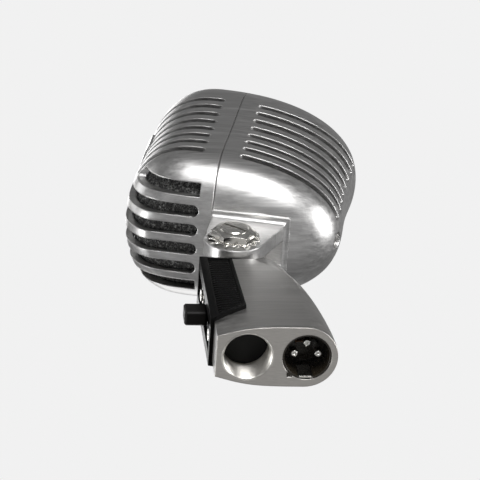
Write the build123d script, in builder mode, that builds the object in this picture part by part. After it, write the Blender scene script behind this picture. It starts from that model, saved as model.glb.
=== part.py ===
from build123d import *

import os
from math import cos, pi, radians, sin

# Stand-mounted vocal microphone: a ribbed two-part head that tilts on a swivel base.
# Millimetres. The origin is the centre of the stand thread's mouth on the base's flat
# underside, +Z is up and the ribbed front of the head faces -Y. The head's pieces are
# drawn upright about the swivel axis, then set back by the head's lean.

os.makedirs("parts", exist_ok=True)

# ---- driving dimensions ------------------------------------------------------------
PIVOT_Y = 1.14
PIVOT_Z = 67.54
HEAD_LEAN = 13.5

HEAD_HALF_WIDTH = 27.15
HEAD_FRONT = -42.0
HEAD_REAR = 33.15
HEAD_WIDEST_Y = -19.2
HEAD_BOTTOM = 16.4
HEAD_TOP = 120.6
HEAD_SHOULDER = 16.1
FRONT_SHOULDER_REACH = 0.72
SIDE_SHOULDER_REACH = 1.09
REAR_SHOULDER_REACH = 1.38
DOME_START = 84.6
DOME_FULLNESS = 1.71
HEAD_ROUNDNESS = 2.24
WALL = 2.2
SEAM_Y = -9.8
SEAM_GROOVE = 0.35
BAND_THICKNESS = 0.7

SIDE_SLOTS = 8
SIDE_SLOT_FIRST = 32.56
SIDE_SLOT_PITCH = 6.675
SIDE_SLOT_HEIGHT = 3.2
FRONT_SIDE_SLOT_END = -15.6
REAR_SIDE_SLOT_END = -3.65
SPINE_HALF_WIDTH = 7.0
SIDE_SLOT_INNER_X = 15.8
BAR_SLOT_PITCH = 7.16
BAR_SLOT_WIDTH = 4.3
BAR_SLOT_REAR = -14.7
CORNER_SLOT_TOP = 30.2

FOAM_GAP = 0.2
FOAM_THICKNESS = 3.5

CHEEK_OUTER = 10.0
SLOT_HALF = 4.7
CHEEK_RADIUS = 10.4
SLOT_TOP = 14.6
RIM_RADIUS = 2.2
RIM_LIP = 0.25

BASE_FRONT = -10.0
BASE_TOP = 56.6
TONGUE_HALF = 4.5
TONGUE_RADIUS = 9.5
SHOULDER_RADIUS = 11.2
BUSH_RADIUS = 6.2
STUD_RADIUS = 4.85

THREAD_RADIUS = 7.43
INSERT_RADIUS = 8.2
INSERT_LENGTH = 10.0
INLET_Y = 19.0
INLET_RADIUS = 7.85
PIN_RADIUS = 1.2
PIN_OFFSET = 3.81

COVER_THICKNESS = 1.3
LEVER_Z = 29.5
LEVER_TRAVEL = 4.0
COVER_SCREW_Z = (44.0, 15.0)

CAPSULE_Z = 52.0
CAPSULE_RADIUS = 15.5
CAPSULE_FRONT = -30.5
BRACKET_FRONT = -14.6
BRACKET_THICKNESS = 1.6
MOUNT_NECK = 17.3
TRANSFORMER_Y = 6.0
TRANSFORMER_Z = 54.0
CLAMP_SCREW_Z = (37.5, 70.5)
HOUSING_SCREWS = ((30.0, 30.0), (98.0, 23.6))  # height and the seat of each screw head

HEAD_PLACE = Location((0, PIVOT_Y, PIVOT_Z)) * Location((0, 0, 0), (-HEAD_LEAN, 0, 0))


# ---- head: shared outer form -------------------------------------------------------
def head_outline(height, side_inset, front_inset, rear_inset):
    """Closed, nearly elliptical plan outline of the head at one height."""
    points = []
    for step in range(24):
        turn = 2 * pi * step / 24
        across = abs(cos(turn)) ** (2 / HEAD_ROUNDNESS) * (1 if cos(turn) > 0 else -1)
        along = abs(sin(turn)) ** (2 / HEAD_ROUNDNESS)
        if sin(turn) > 0:
            y = HEAD_WIDEST_Y + (HEAD_REAR - rear_inset - HEAD_WIDEST_Y) * along
        else:
            y = HEAD_WIDEST_Y + (HEAD_FRONT + front_inset - HEAD_WIDEST_Y) * along
        points.append(((HEAD_HALF_WIDTH - side_inset) * across, y))
    with BuildSketch(Plane.XY.offset(height)) as outline:
        with BuildLine():
            Spline(points, periodic=True)
        make_face()
    return outline.sketch


def head_form(inset):
    """Lofted solid of the head, drawn in by one distance all round."""
    sections = []
    bottom = HEAD_BOTTOM + inset
    shoulder = HEAD_SHOULDER - inset / 2
    for angle in (0, 22, 45, 68, 90):
        drawn_in = shoulder * (1 - sin(radians(angle)))
        height = bottom + shoulder * (1 - cos(radians(angle)))
        side = inset + SIDE_SHOULDER_REACH * drawn_in
        front = inset + FRONT_SHOULDER_REACH * drawn_in
        rear = inset + REAR_SHOULDER_REACH * drawn_in
        sections.append(head_outline(height, side, front, rear))
    sections.append(head_outline(45, inset, inset, inset))
    sections.append(head_outline(66, inset, inset, inset))
    dome_height = HEAD_TOP - inset - DOME_START
    for angle in (0, 18, 36, 54, 70, 83):
        shrink = 1 - cos(radians(angle)) ** (2 / DOME_FULLNESS)
        height = DOME_START + dome_height * sin(radians(angle)) ** (2 / DOME_FULLNESS)
        side = inset + (HEAD_HALF_WIDTH - inset) * shrink
        front = inset + (HEAD_WIDEST_Y - HEAD_FRONT - inset) * shrink
        rear = inset + (HEAD_REAR - HEAD_WIDEST_Y - inset) * shrink
        sections.append(head_outline(height, side, front, rear))
    sections.append(Vertex(0, HEAD_WIDEST_Y, HEAD_TOP - inset))
    return loft(sections)


outer_form = head_form(0)
inner_form = head_form(WALL)
groove_form = head_form(SEAM_GROOVE)
band_form = head_form(-BAND_THICKNESS)

# Fine groove that marks the seam all round the head.
with BuildPart() as seam_groove:
    add(outer_form)
    add(groove_form, mode=Mode.SUBTRACT)
    with Locations((0, SEAM_Y, 70)):
        Box(80, SEAM_GROOVE, 140, mode=Mode.INTERSECT)

# The slot levels and the centres of the upright front slots.
side_slot_levels = [SIDE_SLOT_FIRST + SIDE_SLOT_PITCH * i for i in range(SIDE_SLOTS)]
bar_slot_centres = [BAR_SLOT_PITCH * (i - 2.5) for i in range(6)]

# ---- front_housing: die-cast front half with upright bars and side slots -----------
with BuildPart() as front_housing:
    add(outer_form)
    add(inner_form, mode=Mode.SUBTRACT)
    split(bisect_by=Plane.XZ.offset(-SEAM_Y), keep=Keep.TOP)
    add(seam_groove.part, mode=Mode.SUBTRACT)
    for centre in bar_slot_centres[1:-1]:
        # each upright slot has a half-round rear end on the underside and over the top
        with BuildSketch(Plane.XY.offset(-5)):
            with Locations((centre, BAR_SLOT_REAR - 40)):
                Rectangle(BAR_SLOT_WIDTH, 80)
            fillet(vertices().filter_by(lambda v: v.Y > -20), BAR_SLOT_WIDTH / 2 - 0.05)
        extrude(amount=200, mode=Mode.SUBTRACT)
    for centre in (bar_slot_centres[0], bar_slot_centres[-1]):
        # the outermost pair are short: square at the rear, round-topped on the front shoulder
        with BuildSketch(Plane.XZ.offset(-BAR_SLOT_REAR)):
            with Locations((centre, CORNER_SLOT_TOP / 2)):
                Rectangle(BAR_SLOT_WIDTH, CORNER_SLOT_TOP)
            fillet(vertices().filter_by(lambda v: v.Y > 1), BAR_SLOT_WIDTH / 2 - 0.05)
        extrude(amount=40, mode=Mode.SUBTRACT)
    for level in side_slot_levels:
        for side in (1, -1):
            with BuildSketch(Plane.YZ.offset(side * SIDE_SLOT_INNER_X)):
                with Locations((FRONT_SIDE_SLOT_END - 25, level)):
                    SlotOverall(50, SIDE_SLOT_HEIGHT)
            extrude(amount=side * 20, mode=Mode.SUBTRACT)
front_housing.part.locate(HEAD_PLACE)
front_housing.part.label = "front_housing"
export_step(front_housing.part, "parts/front_housing.step")

# ---- rear_housing: die-cast rear half with side slots and the two swivel cheeks ----
CHEEK_TANGENT = (9.97, -2.95)
CHEEK_REAR_TOP = (16.0, 17.4)
RIM_TOP = HEAD_BOTTOM + 1.0

# Rim of the cheek block: hollow-sided where it meets the underside, at both sides and behind.
with BuildPart() as cheek_rim:
    with BuildSketch(Plane.XZ.offset(-SEAM_Y)):
        with BuildLine():
            outline = Polyline((0, RIM_TOP), (0, 8), (CHEEK_OUTER, 8),
                               (CHEEK_OUTER, HEAD_BOTTOM - RIM_LIP - RIM_RADIUS))
            hollow = RadiusArc(outline @ 1, (CHEEK_OUTER + RIM_RADIUS, HEAD_BOTTOM - RIM_LIP), RIM_RADIUS)
            Polyline(hollow @ 1, (CHEEK_OUTER + RIM_RADIUS, RIM_TOP), (0, RIM_TOP))
        make_face()
        mirror(about=Plane.YZ)
    extrude(amount=-30)
    with BuildSketch(Plane.YZ.offset(-20)):
        with BuildLine():
            outline = Polyline((SEAM_Y, RIM_TOP), (SEAM_Y, 7), (13.1, 7), (15.0, 13.8))
            hollow = ThreePointArc(outline @ 1, (15.6, 15.3), (17.0, HEAD_BOTTOM - RIM_LIP))
            Polyline(hollow @ 1, (17.0, RIM_TOP), (SEAM_Y, RIM_TOP))
        make_face()
    extrude(amount=40, mode=Mode.INTERSECT)

# Posts for the housing screws and the transformer clamp, each ending flush in the casting.
with BuildPart() as inner_posts:
    for height, seat in HOUSING_SCREWS:
        with BuildSketch(Plane.XZ.offset(8 - seat)):
            with Locations((0, height)):
                Circle(4.5)
        extrude(amount=-20)
    for height in CLAMP_SCREW_Z:
        with BuildSketch(Plane.XZ.offset(-TRANSFORMER_Y - 8)):
            with Locations((0, height)):
                Circle(3.2)
        extrude(amount=-22)
    add(groove_form, mode=Mode.INTERSECT)

with BuildPart() as rear_housing:
    add(outer_form)
    add(inner_form, mode=Mode.SUBTRACT)
    split(bisect_by=Plane.XZ.offset(-SEAM_Y), keep=Keep.BOTTOM)
    add(seam_groove.part, mode=Mode.SUBTRACT)
    for level in side_slot_levels:
        for side in (1, -1):
            with BuildSketch(Plane.YZ.offset(side * SPINE_HALF_WIDTH)):
                with Locations((REAR_SIDE_SLOT_END + 25, level)):
                    SlotOverall(50, SIDE_SLOT_HEIGHT)
            extrude(amount=side * 30, mode=Mode.SUBTRACT)
    # cheeks: straight front edge on the seam, round end about the axis, sloping rear
    with BuildSketch(Plane.YZ.offset(-CHEEK_OUTER)):
        with BuildLine():
            front = Line((SEAM_Y, CHEEK_TANGENT[1]), (SEAM_Y, CHEEK_REAR_TOP[1]))
            top = Line(front @ 1, CHEEK_REAR_TOP)
            Line(top @ 1, CHEEK_TANGENT)
            ThreePointArc(CHEEK_TANGENT, (0, -CHEEK_RADIUS), front @ 0)
        make_face()
    extrude(amount=2 * CHEEK_OUTER)
    add(cheek_rim.part)
    add(inner_posts.part)
    # slot for the base's tongue, open towards the rear, and the stud's bore
    with Locations((0, 0, SLOT_TOP - 30)):
        Box(2 * SLOT_HALF, 80, 60, mode=Mode.SUBTRACT)
    with BuildSketch(Plane.YZ.offset(-20)):
        Circle(STUD_RADIUS + 0.1)
    extrude(amount=40, mode=Mode.SUBTRACT)
    # counterbores, clearance holes and the clamp's tapped holes
    for height, seat in HOUSING_SCREWS:
        with BuildSketch(Plane.XZ.offset(-seat)):
            with Locations((0, height)):
                Circle(3.0)
        extrude(amount=-10, mode=Mode.SUBTRACT)
        with BuildSketch(Plane.XZ.offset(-seat)):
            with Locations((0, height)):
                Circle(1.6)
        extrude(amount=10, mode=Mode.SUBTRACT)
    for height in CLAMP_SCREW_Z:
        with BuildSketch(Plane.XZ.offset(-TRANSFORMER_Y - 8)):
            with Locations((0, height)):
                Circle(1.25)
        extrude(amount=-12, mode=Mode.SUBTRACT)
rear_housing.part.locate(HEAD_PLACE)
rear_housing.part.label = "rear_housing"
export_step(rear_housing.part, "parts/rear_housing.step")

# ---- front_band: plain trim band across the upright bars ---------------------------
with BuildPart() as front_band:
    add(band_form)
    add(outer_form, mode=Mode.SUBTRACT)
    with Locations((0, -40, 62.6)):
        Box(2 * SIDE_SLOT_INNER_X, 40, 10, mode=Mode.INTERSECT)
front_band.part.locate(HEAD_PLACE)
front_band.part.label = "front_band"
export_step(front_band.part, "parts/front_band.step")

# ---- foam liners behind the slots ---------------------------------------------------
foam_outer = head_form(WALL + FOAM_GAP)
foam_inner = head_form(WALL + FOAM_GAP + FOAM_THICKNESS)

with BuildPart() as front_foam:
    add(foam_outer)
    add(foam_inner, mode=Mode.SUBTRACT)
    split(bisect_by=Plane.XZ.offset(0.3 - BRACKET_FRONT), keep=Keep.TOP)
front_foam.part.locate(HEAD_PLACE)
front_foam.part.label = "front_foam"
export_step(front_foam.part, "parts/front_foam.step")

with BuildPart() as rear_foam:
    add(foam_outer)
    add(foam_inner, mode=Mode.SUBTRACT)
    with Locations((0, SEAM_Y + 0.4 + 30, 57)):
        Box(80, 60, 56, mode=Mode.INTERSECT)
    # clear of the clamp's posts on the spine
    for height in CLAMP_SCREW_Z:
        with BuildSketch(Plane.XZ):
            with Locations((0, height)):
                Circle(3.6)
        extrude(amount=-40, mode=Mode.SUBTRACT)
    with BuildSketch(Plane.XZ):
        with Locations((0, HOUSING_SCREWS[0][0])):
            Circle(5)
    extrude(amount=-40, mode=Mode.SUBTRACT)
rear_foam.part.locate(HEAD_PLACE)
rear_foam.part.label = "rear_foam"
export_step(rear_foam.part, "parts/rear_foam.step")

# ---- cartridge: round pieces on one axis that runs front to back ---------------------
with BuildPart() as capsule_case:
    with BuildSketch(Plane.XZ.offset(-CAPSULE_FRONT - 2.6)):
        with Locations((0, CAPSULE_Z)):
            Circle(CAPSULE_RADIUS)
            Circle(CAPSULE_RADIUS - 0.9, mode=Mode.SUBTRACT)
    extrude(amount=-22.4)
capsule_case.part.locate(HEAD_PLACE)
capsule_case.part.label = "capsule_case"
export_step(capsule_case.part, "parts/capsule_case.step")

with BuildPart() as capsule_cap:
    with BuildSketch(Plane.XZ.offset(-CAPSULE_FRONT)):
        with Locations((0, CAPSULE_Z)):
            Circle(CAPSULE_RADIUS)
    extrude(amount=-2.5)
    with BuildSketch(Plane.XZ.offset(-CAPSULE_FRONT - 1)):
        with Locations((0, CAPSULE_Z)):
            Circle(CAPSULE_RADIUS - 1.2)
    extrude(amount=-1.5, mode=Mode.SUBTRACT)
    with BuildSketch(Plane.XZ.offset(-CAPSULE_FRONT)):
        with Locations((0, CAPSULE_Z)):
            Circle(1.3)
            with PolarLocations(5.5, 6):
                Circle(1.3)
            with PolarLocations(10.5, 12):
                Circle(1.3)
    extrude(amount=-1, mode=Mode.SUBTRACT)
capsule_cap.part.locate(HEAD_PLACE)
capsule_cap.part.label = "capsule_cap"
export_step(capsule_cap.part, "parts/capsule_cap.step")

with BuildPart() as diaphragm:
    with BuildSketch(Plane.XZ.offset(-CAPSULE_FRONT - 3.2)):
        with Locations((0, CAPSULE_Z)):
            Circle(9)
    extrude(amount=1.6)
    fillet(diaphragm.faces().sort_by(Axis.Y)[0].edges(), 1.4)
    with BuildSketch(Plane.XZ.offset(-CAPSULE_FRONT - 3.5)):
        with Locations((0, CAPSULE_Z)):
            Circle(14.4)
    extrude(amount=0.3)
    with BuildSketch(Plane.XZ.offset(-CAPSULE_FRONT - 3.5)):
        with Locations((0, CAPSULE_Z)):
            Circle(8.4)
    extrude(amount=1.5, mode=Mode.SUBTRACT)
diaphragm.part.locate(HEAD_PLACE)
diaphragm.part.label = "diaphragm"
export_step(diaphragm.part, "parts/diaphragm.step")

with BuildPart() as voice_coil:
    with BuildSketch(Plane.XZ.offset(-CAPSULE_FRONT - 3.6)):
        with Locations((0, CAPSULE_Z)):
            Circle(9.6)
            Circle(9.0, mode=Mode.SUBTRACT)
    extrude(amount=-6)
voice_coil.part.locate(HEAD_PLACE)
voice_coil.part.label = "voice_coil"
export_step(voice_coil.part, "parts/voice_coil.step")

with BuildPart() as pole_piece:
    with BuildSketch(Plane.XZ.offset(-CAPSULE_FRONT - 4.6)):
        with Locations((0, CAPSULE_Z)):
            Circle(8.6)
    extrude(amount=-6.4)
    chamfer(pole_piece.faces().sort_by(Axis.Y)[0].edges(), 0.5)
pole_piece.part.locate(HEAD_PLACE)
pole_piece.part.label = "pole_piece"
export_step(pole_piece.part, "parts/pole_piece.step")

with BuildPart() as magnet:
    with BuildSketch(Plane.XZ.offset(-CAPSULE_FRONT - 11)):
        with Locations((0, CAPSULE_Z)):
            Circle(8.0)
    extrude(amount=-8)
magnet.part.locate(HEAD_PLACE)
magnet.part.label = "magnet"
export_step(magnet.part, "parts/magnet.step")

with BuildPart() as magnet_yoke:
    with BuildSketch(Plane.XZ.offset(-CAPSULE_FRONT - 6)):
        with Locations((0, CAPSULE_Z)):
            Circle(CAPSULE_RADIUS - 1.0)
    extrude(amount=-17)
    with BuildSketch(Plane.XZ.offset(-CAPSULE_FRONT - 6)):
        with Locations((0, CAPSULE_Z)):
            Circle(10.0)
    extrude(amount=-13, mode=Mode.SUBTRACT)
magnet_yoke.part.locate(HEAD_PLACE)
magnet_yoke.part.label = "magnet_yoke"
export_step(magnet_yoke.part, "parts/magnet_yoke.step")

# ---- shock_mount: grooved rubber ring that snaps into the bracket --------------------
with BuildPart() as shock_mount:
    with BuildSketch(Plane.XZ.offset(1.4 - BRACKET_FRONT)):
        with Locations((0, CAPSULE_Z)):
            Circle(MOUNT_NECK + 2)
            Circle(CAPSULE_RADIUS + 0.05, mode=Mode.SUBTRACT)
    extrude(amount=-BRACKET_THICKNESS - 2.8)
    with BuildSketch(Plane.XZ.offset(0.05 - BRACKET_FRONT)):
        with Locations((0, CAPSULE_Z)):
            Circle(MOUNT_NECK + 3)
            Circle(MOUNT_NECK, mode=Mode.SUBTRACT)
    extrude(amount=-BRACKET_THICKNESS - 0.1, mode=Mode.SUBTRACT)
shock_mount.part.locate(HEAD_PLACE)
shock_mount.part.label = "shock_mount"
export_step(shock_mount.part, "parts/shock_mount.step")

# ---- capsule_bracket: sheet frame that fills the front half's opening ----------------
with BuildPart() as capsule_bracket:
    add(inner_form)
    with Locations((0, BRACKET_FRONT + BRACKET_THICKNESS / 2, 70)):
        Box(80, BRACKET_THICKNESS, 140, mode=Mode.INTERSECT)
    with BuildSketch(Plane.XZ.offset(-BRACKET_FRONT)):
        with Locations((0, CAPSULE_Z)):
            Circle(MOUNT_NECK + 0.05)
        with Locations((0, 84)):
            SlotOverall(26, 12)
        with Locations(*[(0, height) for height, seat in HOUSING_SCREWS]):
            Circle(1.52)
    extrude(amount=-5, mode=Mode.SUBTRACT)
capsule_bracket.part.locate(HEAD_PLACE)
capsule_bracket.part.label = "capsule_bracket"
export_step(capsule_bracket.part, "parts/capsule_bracket.step")

# ---- housing_screws: two long screws from the spine into the bracket -----------------
with BuildPart() as housing_screws:
    for height, seat in HOUSING_SCREWS:
        with BuildSketch(Plane.XZ.offset(-seat)):
            with Locations((0, height)):
                Circle(2.75)
        extrude(amount=-1.6)
        with BuildSketch(Plane.XZ.offset(-seat - 1.6)):
            with Locations((0, height)):
                Rectangle(5.6, 0.8)
        extrude(amount=0.9, mode=Mode.SUBTRACT)
        with BuildSketch(Plane.XZ.offset(-seat)):
            with Locations((0, height)):
                Circle(1.5)
        extrude(amount=seat - BRACKET_FRONT)
housing_screws.part.locate(HEAD_PLACE)
housing_screws.part.label = "housing_screws"
export_step(housing_screws.part, "parts/housing_screws.step")

# ---- output transformer and its clamp ------------------------------------------------
with BuildPart() as transformer_core:
    with Locations((0, TRANSFORMER_Y, TRANSFORMER_Z)):
        Box(24, 14, 20)
        with Locations((6, 0, 0), (-6, 0, 0)):
            Box(5, 14, 12, mode=Mode.SUBTRACT)
transformer_core.part.locate(HEAD_PLACE)
transformer_core.part.label = "transformer_core"
export_step(transformer_core.part, "parts/transformer_core.step")

with BuildPart() as transformer_winding:
    with Locations((0, TRANSFORMER_Y, TRANSFORMER_Z)):
        Box(16.4, 22.8, 11.6)
        Box(7.2, 14.2, 11.6, mode=Mode.SUBTRACT)
    fillet(transformer_winding.edges().filter_by(Axis.Z).group_by(Axis.Y)[-1], 2)
    fillet(transformer_winding.edges().filter_by(Axis.Z).group_by(Axis.Y)[0], 2)
transformer_winding.part.locate(HEAD_PLACE)
transformer_winding.part.label = "transformer_winding"
export_step(transformer_winding.part, "parts/transformer_winding.step")

with BuildPart() as transformer_clamp:
    with BuildSketch(Plane.XZ.offset(-TRANSFORMER_Y - 7)):
        with Locations((0, TRANSFORMER_Z)):
            Rectangle(24, 20)
            Rectangle(8, 39)
            Rectangle(17, 12.4, mode=Mode.SUBTRACT)
        with Locations(*[(0, height) for height in CLAMP_SCREW_Z]):
            Circle(1.4, mode=Mode.SUBTRACT)
    extrude(amount=-1)
transformer_clamp.part.locate(HEAD_PLACE)
transformer_clamp.part.label = "transformer_clamp"
export_step(transformer_clamp.part, "parts/transformer_clamp.step")

with BuildPart() as clamp_screws:
    for height in CLAMP_SCREW_Z:
        with BuildSketch(Plane.XZ.offset(-TRANSFORMER_Y - 7)):
            with Locations((0, height)):
                Circle(2.4)
        extrude(amount=1.2)
        with BuildSketch(Plane.XZ.offset(-TRANSFORMER_Y - 7)):
            with Locations((0, height)):
                Circle(1.2)
        extrude(amount=-9)
clamp_screws.part.locate(HEAD_PLACE)
clamp_screws.part.label = "clamp_screws"
export_step(clamp_screws.part, "parts/clamp_screws.step")

with BuildPart() as head_leads:
    with BuildSketch(Plane.XZ.offset(-CAPSULE_FRONT - 23)):
        with Locations((4, CAPSULE_Z), (-4, CAPSULE_Z)):
            Circle(0.6)
    extrude(amount=CAPSULE_FRONT + 23 - (TRANSFORMER_Y - 11.4))
head_leads.part.locate(HEAD_PLACE)
head_leads.part.label = "head_leads"
export_step(head_leads.part, "parts/head_leads.step")

# ---- swivel hardware that turns with the head ----------------------------------------
STUD_SLOT_ANGLE = -26.5
STUD_END = 14.2
WASHER_BACK = CHEEK_OUTER + 0.05
NUT_BACK = WASHER_BACK + 0.75
NUT_TOP = 13.7
NUT_FLATS = 13.0

with BuildPart() as pivot_bolt:
    with BuildSketch(Plane.YZ.offset(-CHEEK_OUTER - 0.05)):
        Circle(7.6)
    extrude(amount=-3)
    fillet(pivot_bolt.faces().sort_by(Axis.X)[0].edges(), 2.2)
    with BuildSketch(Plane.YZ.offset(-CHEEK_OUTER - 0.1)):
        Circle(STUD_RADIUS)
    extrude(amount=CHEEK_OUTER + 0.1 + STUD_END)
    chamfer(pivot_bolt.faces().sort_by(Axis.X)[-1].edges(), 0.4)
    with BuildSketch(Plane.YZ.offset(STUD_END)):
        Rectangle(14, 1.0, rotation=STUD_SLOT_ANGLE)
    extrude(amount=-1.3, mode=Mode.SUBTRACT)
pivot_bolt.part.locate(HEAD_PLACE)
pivot_bolt.part.label = "pivot_bolt"
export_step(pivot_bolt.part, "parts/pivot_bolt.step")

with BuildPart() as star_washer:
    with BuildSketch(Plane.YZ.offset(WASHER_BACK)):
        Circle(7.4)
        with PolarLocations(7.9, 14):
            Trapezoid(2.2, 2.2, 80, rotation=-90)
        Circle(STUD_RADIUS + 0.15, mode=Mode.SUBTRACT)
    extrude(amount=0.7)
star_washer.part.locate(HEAD_PLACE)
star_washer.part.label = "star_washer"
export_step(star_washer.part, "parts/star_washer.step")

with BuildPart() as pivot_nut:
    with BuildSketch(Plane.YZ.offset(NUT_BACK)):
        RegularPolygon(NUT_FLATS / 2, 6, major_radius=False, rotation=10)
    extrude(amount=NUT_TOP - NUT_BACK)
    # turned chamfer that leaves rounded facets
    with BuildSketch(Plane.XY):
        with BuildLine():
            Polyline((NUT_BACK - 0.1, 0), (NUT_BACK - 0.1, 9), (NUT_TOP - 1.7, 9),
                     (NUT_TOP, NUT_FLATS / 2 - 0.7), (NUT_TOP, 0), close=True)
        make_face()
    revolve(axis=Axis.X, mode=Mode.INTERSECT)
    with BuildSketch(Plane.YZ.offset(NUT_BACK - 1)):
        Circle(STUD_RADIUS + 0.05)
    extrude(amount=8, mode=Mode.SUBTRACT)
pivot_nut.part.locate(HEAD_PLACE)
pivot_nut.part.label = "pivot_nut"
export_step(pivot_nut.part, "parts/pivot_nut.step")


# ---- base: shared outer form ----------------------------------------------------------
# height, half width of the flat sides, where they end and the rearmost point
BASE_LEVELS = (
    (0.0, 10.45, 18.4, 28.9),
    (13.0, 9.80, 18.6, 28.1),
    (25.0, 9.17, 19.2, 26.5),
    (37.0, 8.56, 18.8, 23.9),
    (46.0, 8.10, 15.4, 21.3),
    (52.0, 7.78, 11.0, 19.4),
    (BASE_TOP, 7.54, 7.0, 17.9),
)
BASE_FRONT_HALF = 7.2
# how the plan widens from the flat front to the sides: share of length, share of width
BASE_WIDENING = ((0.2, 0.49), (0.4, 0.83), (0.65, 0.985), (1.0, 1.0))


def base_form(grow):
    """Lofted solid of the base below the swivel, grown outwards by one distance."""
    sections = []
    for height, half_width, side_end, rear in BASE_LEVELS:
        front_y = BASE_FRONT - grow
        front_x = BASE_FRONT_HALF + grow
        side_x = half_width + grow
        side = [(front_x, front_y)]
        for along, out in BASE_WIDENING:
            side.append((front_x + out * (side_x - front_x), BASE_FRONT + along * (side_end - BASE_FRONT)))
        with BuildSketch(Plane.XY.offset(height)) as level:
            with BuildLine():
                Spline(side, tangents=[(0.26, 1), (0, 1)])
                ThreePointArc((side_x, side_end), (0, rear + grow), (-side_x, side_end))
                Spline([(-x, y) for x, y in reversed(side)], tangents=[(0, -1), (0.26, -1)])
                Line((-front_x, front_y), (front_x, front_y))
            make_face()
        sections.append(level.sketch)
    return loft(sections)


base_solid = base_form(0)

# ---- base_housing: die-cast swivel base with its tongue, bores and switch cavity -------
with BuildPart() as base_housing:
    add(base_solid)
    # shoulders hollowed round the ends of the head's cheeks
    with BuildSketch(Plane.YZ.offset(-20)):
        with Locations((PIVOT_Y, PIVOT_Z)):
            Circle(SHOULDER_RADIUS)
    extrude(amount=40, mode=Mode.SUBTRACT)
    # tongue between the cheeks
    with BuildSketch(Plane.YZ.offset(-TONGUE_HALF)):
        with BuildLine():
            Polyline((PIVOT_Y - TONGUE_RADIUS, PIVOT_Z), (PIVOT_Y - TONGUE_RADIUS, 50), (17.8, 50))
            Spline((17.8, 50), (14.6, 59), (PIVOT_Y + TONGUE_RADIUS, PIVOT_Z),
                   tangents=[(-0.25, 1), (-0.2, 1)])
            ThreePointArc((PIVOT_Y + TONGUE_RADIUS, PIVOT_Z), (PIVOT_Y, PIVOT_Z + TONGUE_RADIUS),
                          (PIVOT_Y - TONGUE_RADIUS, PIVOT_Z))
        make_face()
    extrude(amount=2 * TONGUE_HALF)
    for side in (1, -1):
        # seats of the friction washers
        with BuildSketch(Plane.YZ.offset(side * (TONGUE_HALF - 0.5))):
            with Locations((PIVOT_Y, PIVOT_Z)):
                Circle(8.0)
        extrude(amount=side * 0.5, mode=Mode.SUBTRACT)
    with BuildSketch(Plane.YZ.offset(-TONGUE_HALF)):
        with Locations((PIVOT_Y, PIVOT_Z)):
            Circle(BUSH_RADIUS)
    extrude(amount=2 * TONGUE_HALF, mode=Mode.SUBTRACT)
    # stand-thread bore and connector bore in the underside
    with BuildSketch(Plane.XY):
        Circle(INSERT_RADIUS + 0.02)
    extrude(amount=INSERT_LENGTH + 1, mode=Mode.SUBTRACT)
    with BuildSketch(Plane.XY):
        with Locations((0, INLET_Y)):
            Circle(INLET_RADIUS + 0.05)
    extrude(amount=15, mode=Mode.SUBTRACT)
    with BuildSketch(Plane.XY.offset(14)):
        with Locations((0, INLET_Y)):
            Circle(6.4)
    extrude(amount=10, mode=Mode.SUBTRACT)
    # key notch at the mouth of the connector bore
    with Locations((-6.2, INLET_Y - 5.3, 1)):
        Box(1.8, 1.8, 2, mode=Mode.SUBTRACT)
    # switch cavity, the recess round its mouth and the channel for the leads
    with Locations((0, -4.25, 31.5)):
        Box(8.8, 11.5, 37, mode=Mode.SUBTRACT)
    with Locations((0, -9.4, 33)):
        Box(10.0, 1.2, 42.6, mode=Mode.SUBTRACT)
    with Locations((0, 9, 26.5)):
        Box(7, 22, 7, mode=Mode.SUBTRACT)
    # tapped hole for the connector's set screw
    with BuildSketch(Plane.XZ.offset(-30)):
        with Locations((0, 8)):
            Circle(1.2)
    extrude(amount=4, mode=Mode.SUBTRACT)
base_housing.part.label = "base_housing"
export_step(base_housing.part, "parts/base_housing.step")

with BuildPart() as thread_insert:
    with BuildSketch(Plane.XY):
        Circle(INSERT_RADIUS)
        Circle(THREAD_RADIUS, mode=Mode.SUBTRACT)
    extrude(amount=INSERT_LENGTH)
thread_insert.part.label = "thread_insert"
export_step(thread_insert.part, "parts/thread_insert.step")

with BuildPart() as thread_end_disc:
    with BuildSketch(Plane.XY.offset(INSERT_LENGTH)):
        Circle(INSERT_RADIUS)
    extrude(amount=0.95)
thread_end_disc.part.label = "thread_end_disc"
export_step(thread_end_disc.part, "parts/thread_end_disc.step")

# ---- connector_insert: black cup with a catch window, a key lug and a rear neck -------
PIN_PLACES = ((0, INLET_Y - PIN_OFFSET), (0, INLET_Y + PIN_OFFSET), (PIN_OFFSET, INLET_Y))
with BuildPart() as connector_insert:
    with BuildSketch(Plane.XY.offset(0.35)):
        with Locations((0, INLET_Y)):
            Circle(INLET_RADIUS)
    extrude(amount=14.6)
    with BuildSketch(Plane.XY.offset(0.35)):
        with Locations((0, INLET_Y)):
            Circle(INLET_RADIUS - 0.6)
    extrude(amount=12, mode=Mode.SUBTRACT)
    with BuildSketch(Plane.XY.offset(14)):
        with Locations((0, INLET_Y)):
            Circle(6.3)
    extrude(amount=4)
    with Locations((-7.6, INLET_Y, 4)):
        Box(1.6, 4.8, 9, mode=Mode.SUBTRACT)
    # key lug that stands in the casting's notch
    with Locations((-6.2, INLET_Y - 5.3, 1.1)):
        Box(1.6, 1.6, 1.5)
    with Locations((0, INLET_Y - 1.2, 12)):
        Box(0.5, 3.2, 1.6)
    with BuildSketch(Plane.XY):
        with Locations(*PIN_PLACES):
            Circle(PIN_RADIUS)
    extrude(amount=30, mode=Mode.SUBTRACT)
connector_insert.part.label = "connector_insert"
export_step(connector_insert.part, "parts/connector_insert.step")

with BuildPart() as contact_pins:
    with BuildSketch(Plane.XY.offset(2.5)):
        with Locations(*PIN_PLACES):
            Circle(PIN_RADIUS)
    extrude(amount=18.5)
    fillet(contact_pins.edges().group_by(Axis.Z)[0], 0.6)
contact_pins.part.label = "contact_pins"
export_step(contact_pins.part, "parts/contact_pins.step")

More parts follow.
